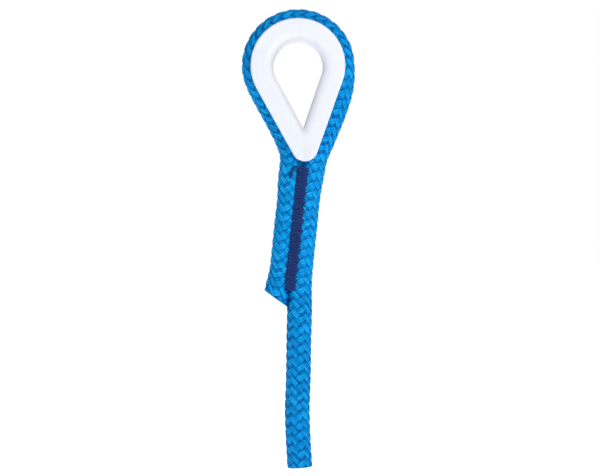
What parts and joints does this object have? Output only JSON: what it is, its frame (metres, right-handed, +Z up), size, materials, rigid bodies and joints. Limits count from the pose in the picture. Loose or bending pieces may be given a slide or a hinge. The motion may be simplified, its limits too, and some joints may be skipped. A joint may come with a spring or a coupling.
{
  "type": "dock line eye end",
  "caption": "Sewn eye end of a plaited dock line: thimble in a rope eye, tail stitched to the standing part, flexible standing end.",
  "frame": {"origin": "centre of the thimble's round eye", "axes": "+Z up along the hanging rope, +Y through the thimble's eye away from the seam's needle side, +X to the standing part's side"},
  "size_m": [0.0548, 0.0166, 0.2218],
  "materials": {
    "rope_cover": "plaited fibre",
    "rope_core": "fibre bundle",
    "sewing_thread": "waxed thread",
    "thimble_plastic": "satin moulded"
  },
  "bodies": {
    "eye": {"thimble": "thimble_plastic", "eye_cover": "rope_cover", "eye_core": "rope_core"},
    "neck": {"tail_cover": "rope_cover", "tail_core": "rope_core", "neck_cover": "rope_cover", "neck_core": "rope_core", "needle_thread": "sewing_thread", "bobbin_thread": "sewing_thread", "loose_thread": "sewing_thread"},
    "link_01": {"standing_cover_01": "rope_cover", "standing_core_01": "rope_core"},
    "link_02": {"standing_cover_02": "rope_cover", "standing_core_02": "rope_core"},
    "link_03": {"standing_cover_03": "rope_cover", "standing_core_03": "rope_core"},
    "link_04": {"standing_cover_04": "rope_cover", "standing_core_04": "rope_core"},
    "link_05": {"standing_cover_05": "rope_cover", "standing_core_05": "rope_core"},
    "link_06": {"standing_cover_06": "rope_cover", "standing_core_06": "rope_core"},
    "link_07": {"standing_cover_07": "rope_cover", "standing_core_07": "rope_core"},
    "link_08": {"standing_cover_08": "rope_cover", "standing_core_08": "rope_core"},
    "link_09": {"standing_cover_09": "rope_cover", "standing_core_09": "rope_core"}
  },
  "joints": [
    {"name": "throat_flex", "type": "hinge", "parent": "eye", "child": "neck", "pos_m": [0.0021, 0, -0.0475], "axis": [1, 0, 0], "range_deg": [-15, 15], "stiffness_Nm_per_rad": 0.02},
    {"name": "rope_twist", "type": "hinge", "parent": "neck", "child": "link_01", "pos_m": [0.00075, 0, -0.1205], "axis": [-0.025, 0, -0.9997], "range_deg": [-20, 20], "stiffness_Nm_per_rad": 0.01},
    {"name": "side_bend_1", "type": "hinge", "parent": "link_01", "child": "link_02", "pos_m": [0.0005, 0, -0.1305], "axis": [0, 1, 0], "range_deg": [-22, 22], "stiffness_Nm_per_rad": 0.01},
    {"name": "fore_bend_1", "type": "hinge", "parent": "link_02", "child": "link_03", "pos_m": [0.0004, 0, -0.1377], "axis": [1, 0, 0], "range_deg": [-22, 22], "stiffness_Nm_per_rad": 0.01},
    {"name": "side_bend_2", "type": "hinge", "parent": "link_03", "child": "link_04", "pos_m": [0.0003, 0, -0.1449], "axis": [0, 1, 0], "range_deg": [-22, 22], "stiffness_Nm_per_rad": 0.01},
    {"name": "fore_bend_2", "type": "hinge", "parent": "link_04", "child": "link_05", "pos_m": [0.00015, 0, -0.1521], "axis": [1, 0, 0], "range_deg": [-22, 22], "stiffness_Nm_per_rad": 0.01},
    {"name": "side_bend_3", "type": "hinge", "parent": "link_05", "child": "link_06", "pos_m": [-0.0001, 0, -0.1593], "axis": [0, 1, 0], "range_deg": [-22, 22], "stiffness_Nm_per_rad": 0.01},
    {"name": "fore_bend_3", "type": "hinge", "parent": "link_06", "child": "link_07", "pos_m": [-0.00028, 0, -0.1665], "axis": [1, 0, 0], "range_deg": [-22, 22], "stiffness_Nm_per_rad": 0.01},
    {"name": "side_bend_4", "type": "hinge", "parent": "link_07", "child": "link_08", "pos_m": [-0.00015, 0, -0.1737], "axis": [0, 1, 0], "range_deg": [-22, 22], "stiffness_Nm_per_rad": 0.01},
    {"name": "fore_bend_4", "type": "hinge", "parent": "link_08", "child": "link_09", "pos_m": [0.00015, 0, -0.1809], "axis": [1, 0, 0], "range_deg": [-22, 22], "stiffness_Nm_per_rad": 0.01}
  ],
  "couplings": [
    {"joint": "side_bend_2", "follows": "side_bend_1", "ratio": 1},
    {"joint": "fore_bend_2", "follows": "fore_bend_1", "ratio": 1},
    {"joint": "side_bend_3", "follows": "side_bend_1", "ratio": 1},
    {"joint": "fore_bend_3", "follows": "fore_bend_1", "ratio": 1},
    {"joint": "side_bend_4", "follows": "side_bend_1", "ratio": 1},
    {"joint": "fore_bend_4", "follows": "fore_bend_1", "ratio": 1}
  ]
}
